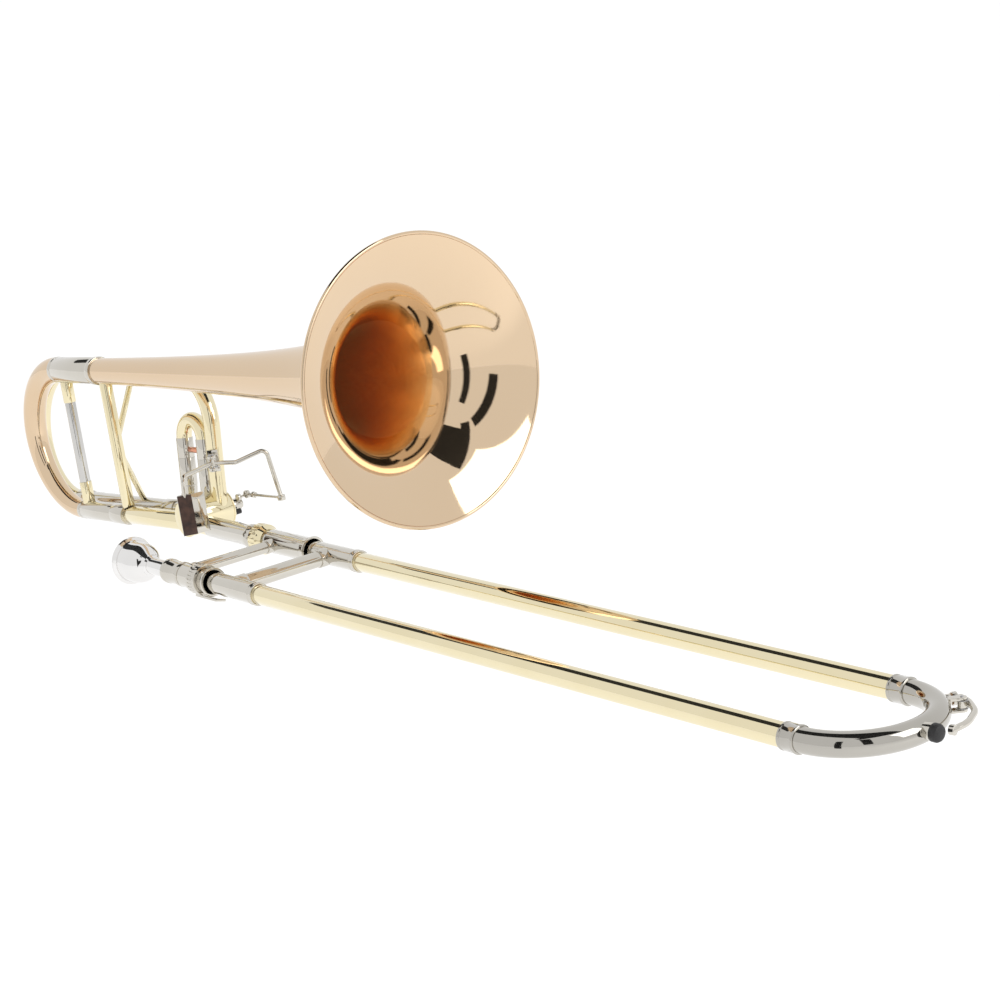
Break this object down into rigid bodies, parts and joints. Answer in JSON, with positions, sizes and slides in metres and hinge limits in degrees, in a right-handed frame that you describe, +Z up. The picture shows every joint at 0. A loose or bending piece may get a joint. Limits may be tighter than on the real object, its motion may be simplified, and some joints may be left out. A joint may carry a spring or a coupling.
{
  "type": "trombone",
  "caption": "Tenor trombone with a hand slide, flared bell, tuning slides, rotary valve with thumb lever, and a mouthpiece.",
  "frame": {"origin": "on the axis of the slide leg that carries the bell, where the bell lock nut bears on its shoulder", "axes": "+X along the slide towards its bow, +Z up from the slide to the bell, +Y to the player's left"},
  "size_m": [1.1726, 0.2269, 0.2866],
  "materials": {
    "yellow_brass": "polished and lacquered",
    "rose_brass": "polished and lacquered",
    "nickel_silver": "polished and lacquered",
    "silver_plate": "mirror plate",
    "steel": "turned",
    "copper": "polished",
    "rubber": "matte",
    "cork": "matte",
    "leather": "satin"
  },
  "bodies": {
    "inner_slide": {"inner_tube_bell_side": "nickel_silver", "inner_tube_mouthpiece_side": "nickel_silver", "cork_barrels": "nickel_silver", "barrel_corks": "cork", "inner_brace": "nickel_silver", "mouthpiece_receiver": "nickel_silver", "leadpipe": "yellow_brass", "bell_connector": "nickel_silver"},
    "hand_slide": {"outer_tube_bell_side": "yellow_brass", "outer_tube_mouthpiece_side": "yellow_brass", "outer_sleeves": "nickel_silver", "slide_lock_pin": "nickel_silver", "outer_brace": "nickel_silver", "bow_ferrules": "nickel_silver", "slide_bow": "nickel_silver", "bumper_cup": "nickel_silver", "bumper_tip": "rubber", "water_key_seat": "nickel_silver", "water_key_pin": "steel"},
    "slide_lock": {"slide_lock_ring": "nickel_silver"},
    "lock_nut": {"bell_lock_nut": "yellow_brass"},
    "mouthpiece": {"mouthpiece": "silver_plate"},
    "water_key": {"water_key_lever": "nickel_silver", "water_key_cork": "cork", "water_key_spring": "steel"},
    "bell_section": {"slide_receiver": "nickel_silver", "neckpipe": "yellow_brass", "valve_casing": "yellow_brass", "valve_caps": "yellow_brass", "stop_plate": "yellow_brass", "stop_bumpers": "rubber", "lever_spring": "steel", "lever_bracket": "nickel_silver", "lever_hinge_pin": "steel", "f_up_tube": "yellow_brass", "f_rear_crook": "yellow_brass", "f_ferrules": "nickel_silver", "f_lower_run": "nickel_silver", "f_slide_sleeves": "nickel_silver", "lower_leg": "yellow_brass", "tuning_sleeves": "nickel_silver", "bell_flare": "rose_brass", "bell_stem": "rose_brass", "section_collars": "nickel_silver", "rear_brace": "nickel_silver", "rear_brace_sockets": "yellow_brass", "front_brace": "yellow_brass", "brace_struts": "yellow_brass"},
    "rotor": {"rotor": "yellow_brass", "stop_arm": "nickel_silver"},
    "thumb_lever": {"thumb_lever": "nickel_silver", "thumb_paddle": "nickel_silver", "thumb_pad": "leather"},
    "link_rod": {"link_rod": "nickel_silver"},
    "f_tuning_slide": {"f_slide_bow": "yellow_brass", "f_slide_legs": "nickel_silver", "f_slide_brace": "copper"},
    "tuning_slide": {"tuning_crook": "rose_brass", "tuning_legs": "nickel_silver", "tuning_ferrules": "nickel_silver"}
  },
  "joints": [
    {"name": "hand_slide", "type": "slide", "parent": "inner_slide", "child": "hand_slide", "axis": [1, 0, 0], "range_m": [0, 0.585]},
    {"name": "slide_lock_turn", "type": "hinge", "parent": "inner_slide", "child": "slide_lock", "pos_m": [0.05, -0.097, 0], "axis": [1, 0, 0], "range_deg": [0, 24]},
    {"name": "lock_nut_turn", "type": "hinge", "parent": "inner_slide", "child": "lock_nut", "pos_m": [-0.004, 0, 0], "axis": [1, 0, 0], "continuous": true},
    {"name": "bell_swivel", "type": "hinge", "parent": "inner_slide", "child": "bell_section", "pos_m": [0, 0, 0], "axis": [1, 0, 0], "range_deg": [-15, 15]},
    {"name": "mouthpiece_seat", "type": "slide", "parent": "inner_slide", "child": "mouthpiece", "axis": [-1, 0, 0], "range_m": [0, 0.025]},
    {"name": "water_key_hinge", "type": "hinge", "parent": "hand_slide", "child": "water_key", "pos_m": [0.73232, 0.00014, 0], "axis": [0, 0, -1], "range_deg": [0, 6], "stiffness_Nm_per_rad": 0.12, "springref_deg": -17.19},
    {"name": "tuning_slide_pull", "type": "slide", "parent": "bell_section", "child": "tuning_slide", "axis": [-0.9978, 0, -0.0666], "range_m": [0, 0.052]},
    {"name": "f_slide_pull", "type": "slide", "parent": "bell_section", "child": "f_tuning_slide", "axis": [-0.0664, 0.0872, 0.994], "range_m": [0, 0.016]},
    {"name": "thumb_lever_hinge", "type": "hinge", "parent": "bell_section", "child": "thumb_lever", "pos_m": [-0.08943, 0.013, 0.05232], "axis": [-0.0666, 0, 0.9978], "range_deg": [0, 13], "stiffness_Nm_per_rad": 0.4, "springref_deg": -14.32},
    {"name": "rotor_turn", "type": "hinge", "parent": "bell_section", "child": "rotor", "pos_m": [-0.10935, 0.01, 0.00539], "axis": [0, -1, 0], "range_deg": [0, 70]},
    {"name": "link_ball", "type": "hinge", "parent": "thumb_lever", "child": "link_rod", "pos_m": [-0.05146, 0.053, 0.01647], "axis": [-0.0666, 0, 0.9978], "range_deg": [-6, 0]}
  ],
  "couplings": [
    {"joint": "rotor_turn", "follows": "thumb_lever_hinge", "ratio": 5.38},
    {"joint": "link_ball", "follows": "thumb_lever_hinge", "ratio": -0.427}
  ]
}
